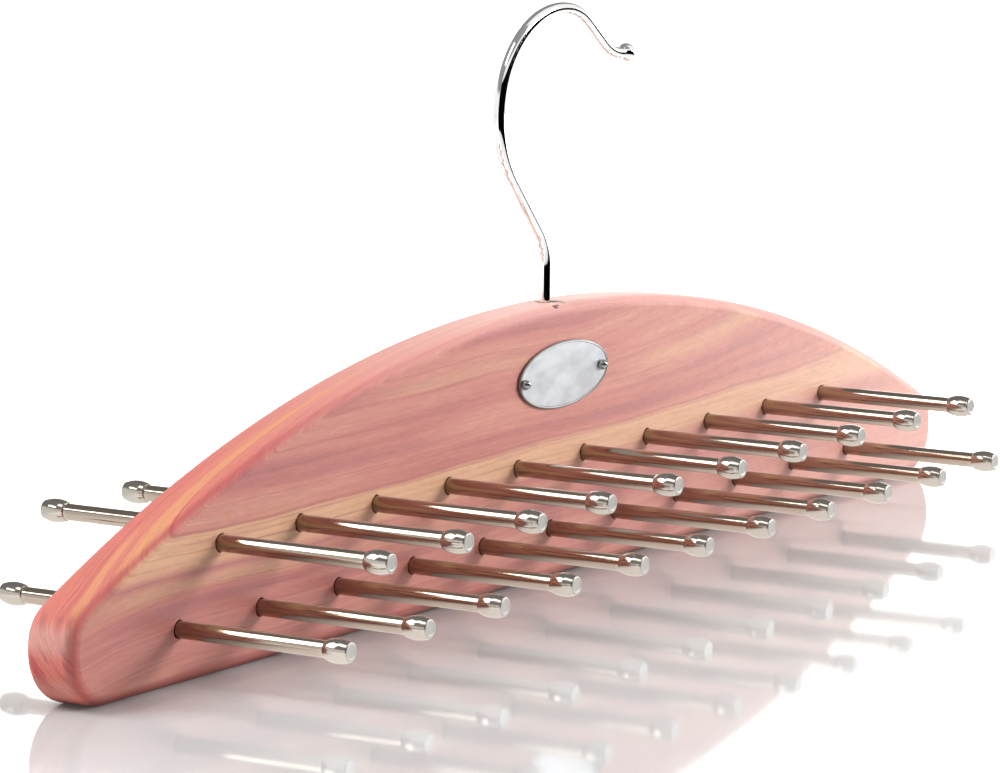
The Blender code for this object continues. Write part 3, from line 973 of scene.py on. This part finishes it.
def makeRoom():
    # the unlit room behind and above, which fades to the white of the surroundings at its edge
    work = bmesh.new()
    stops = room["stops"]
    first, last = stops[0][0], stops[-1][0]
    grid, greys = [], []
    for row in range(room["rows"] + 1):
        rise = room["foot"] + (90.0 - room["foot"]) * row / room["rows"]
        tilt = math.radians(rise)
        line = []
        for column in range(room["columns"] + 1):
            bearing = first + (last - first) * column / room["columns"]
            for before, after in zip(stops, stops[1:]):
                if bearing <= after[0]:
                    break
            share = (bearing - before[0]) / (after[0] - before[0])
            start, grey = [before[place] + (after[place] - before[place]) * share for place in (1, 2)]
            fade = min(1, max(0, (rise - start) / room["fade"]))
            greys.append(1 - (1 - grey) * fade * fade * (3 - 2 * fade))
            turn = math.radians(bearing)
            line.append(work.verts.new(room["radius"] * Vector((
                math.cos(turn) * math.cos(tilt), math.sin(turn) * math.cos(tilt), math.sin(tilt)))))
        grid.append(line)
    for lower, upper in zip(grid, grid[1:]):
        for column in range(room["columns"]):
            work.faces.new((lower[column], lower[column + 1], upper[column + 1], upper[column]))
    hideCard(work, "unlitRoom", greys)


darkCard = {
    "radius": 0.55, "foot": 0.40, "lift": 0.001, "from": -166.0, "to": -8.0, "steps": 60,
    # it drops from high to low between these bearings, and its top edge fades out
    "high": 0.42, "low": 0.03, "dropFrom": -75.0, "dropTo": -22.0, "fadeFrom": 0.94,
}


def makeDarkCard():
    # a low dark card round the camera's side, seen only as the dark core in polished metal
    work = bmesh.new()
    rows = [[], [], [], []]
    greys = []
    for index in range(darkCard["steps"] + 1):
        bearing = darkCard["from"] + (darkCard["to"] - darkCard["from"]) * index / darkCard["steps"]
        angle = math.radians(bearing)
        share = (bearing - darkCard["dropFrom"]) / (darkCard["dropTo"] - darkCard["dropFrom"])
        top = darkCard["high"] + (darkCard["low"] - darkCard["high"]) * min(1, max(0, share))
        outline = [(darkCard["foot"], darkCard["lift"], 0), (darkCard["radius"], darkCard["lift"], 0),
                   (darkCard["radius"], top * darkCard["fadeFrom"], 0), (darkCard["radius"], top, 1)]
        for row, (radius, height, grey) in zip(rows, outline):
            row.append(work.verts.new((radius * math.cos(angle), radius * math.sin(angle), height)))
            greys.append(grey)
    for lower, upper in zip(rows, rows[1:]):
        for index in range(darkCard["steps"]):
            work.faces.new((lower[index], lower[index + 1], upper[index + 1], upper[index]))
    hideCard(work, "darkCard", greys)


lamps = {
    "target": (0.02, 0, 0.04),
    # place, width, height and power of each lamp
    "key": ((0.68, -0.94, 0.50), 0.50, 0.50, 14.4),
    "back": ((-0.60, 0.57, 0.72), 0.56, 0.56, 8.0),
    "strip": ((-0.74, 0.57, 0.62), 0.50, 0.12, 1.7),
    "side": ((1.10, -0.42, 0.14), 0.60, 0.26, 2.4),
    "rear": ((1.10, 0.62, 0.20), 0.80, 0.36, 2.3),
    "left": ((-0.60, 0.10, 1.10), 0.50, 0.50, 2.0),
}


def linkLamp(item, pieces, state):
    # which pieces the lamp lights, or which it leaves out
    receivers = bpy.data.collections.new(item.name + "Receivers")
    for piece in pieces:
        receivers.objects.link(piece)
    for entry in receivers.collection_objects:
        entry.light_linking.link_state = state
    item.light_linking.receiver_collection = receivers


def makeLamp(name, leaveOut=(), only=()):
    place, width, height, power = lamps[name]
    lamp = bpy.data.lights.new(name + "Softbox", "AREA")
    lamp.shape = "RECTANGLE"
    lamp.size = width
    lamp.size_y = height
    lamp.energy = power
    item = bpy.data.objects.new(lamp.name, lamp)
    bpy.context.scene.collection.objects.link(item)
    item.location = place
    item.rotation_mode = "QUATERNION"
    item.rotation_quaternion = (Vector(place) - Vector(lamps["target"])).to_track_quat("Z", "Y")
    item.visible_camera = False
    if leaveOut:
        linkLamp(item, leaveOut, "EXCLUDE")
    if only:
        linkLamp(item, only, "INCLUDE")


def makeWorld(light):
    # plain white to the camera and in metal and glass, and a soft light on everything else
    world = bpy.data.worlds.new("studioAir")
    world.use_nodes = True
    tree = world.node_tree
    tree.nodes.clear()
    paths = tree.nodes.new("ShaderNodeLightPath")
    seen = paths.outputs["Is Camera Ray"]
    for name in ("Is Glossy Ray", "Is Transmission Ray"):
        either = tree.nodes.new("ShaderNodeMath")
        either.operation = "MAXIMUM"
        tree.links.new(seen, either.inputs[0])
        tree.links.new(paths.outputs[name], either.inputs[1])
        seen = either.outputs[0]
    strength = tree.nodes.new("ShaderNodeMapRange")
    strength.inputs["To Min"].default_value = light
    strength.inputs["To Max"].default_value = 1.0
    tree.links.new(seen, strength.inputs["Value"])
    background = tree.nodes.new("ShaderNodeBackground")
    background.inputs["Color"].default_value = (1, 1, 1, 1)
    tree.links.new(strength.outputs[0], background.inputs["Strength"])
    output = tree.nodes.new("ShaderNodeOutputWorld")
    tree.links.new(background.outputs[0], output.inputs["Surface"])
    bpy.context.scene.world = world


# the photograph's own view: far to the left of the front, low, with a long lens
view = {
    "azimuth": -58.5, "elevation": 8.196, "roll": 0.631, "lens": 172.6365, "sensor": 36.0,
    "place": (-1.021682, -0.613365, 0.218835), "nearest": 0.05, "farthest": 60.0,
}


def makeCamera():
    azimuth, elevation, roll = [math.radians(view[name]) for name in ("azimuth", "elevation", "roll")]
    back = Vector((math.sin(azimuth) * math.cos(elevation), -math.cos(azimuth) * math.cos(elevation),
                   math.sin(elevation)))
    level = Vector((0, 0, 1)).cross(back).normalized()
    upright = back.cross(level)
    right = math.cos(roll) * level + math.sin(roll) * upright
    up = math.cos(roll) * upright - math.sin(roll) * level
    lens = bpy.data.cameras.new("photoLens")
    lens.sensor_width = view["sensor"]
    lens.lens = view["lens"]
    lens.clip_start = view["nearest"]
    lens.clip_end = view["farthest"]
    camera = bpy.data.objects.new("photoCamera", lens)
    bpy.context.scene.collection.objects.link(camera)
    turned = Matrix((right, up, back)).transposed().to_4x4()
    camera.matrix_world = Matrix.Translation(view["place"]) @ turned
    bpy.context.scene.camera = camera


tablePolish = makeFloor()
makeDarkCard()
makeRoom()
makeLamp("rear")
for lampName in ("key", "side", "left"):
    makeLamp(lampName, [tablePolish])
makeLamp("back", [tablePolish, bentHook] + backPegs)
makeLamp("strip", only=backPegs)
makeWorld(light=0.29)
makeCamera()
bpy.context.scene.view_settings.view_transform = "Standard"
print("studio lit")
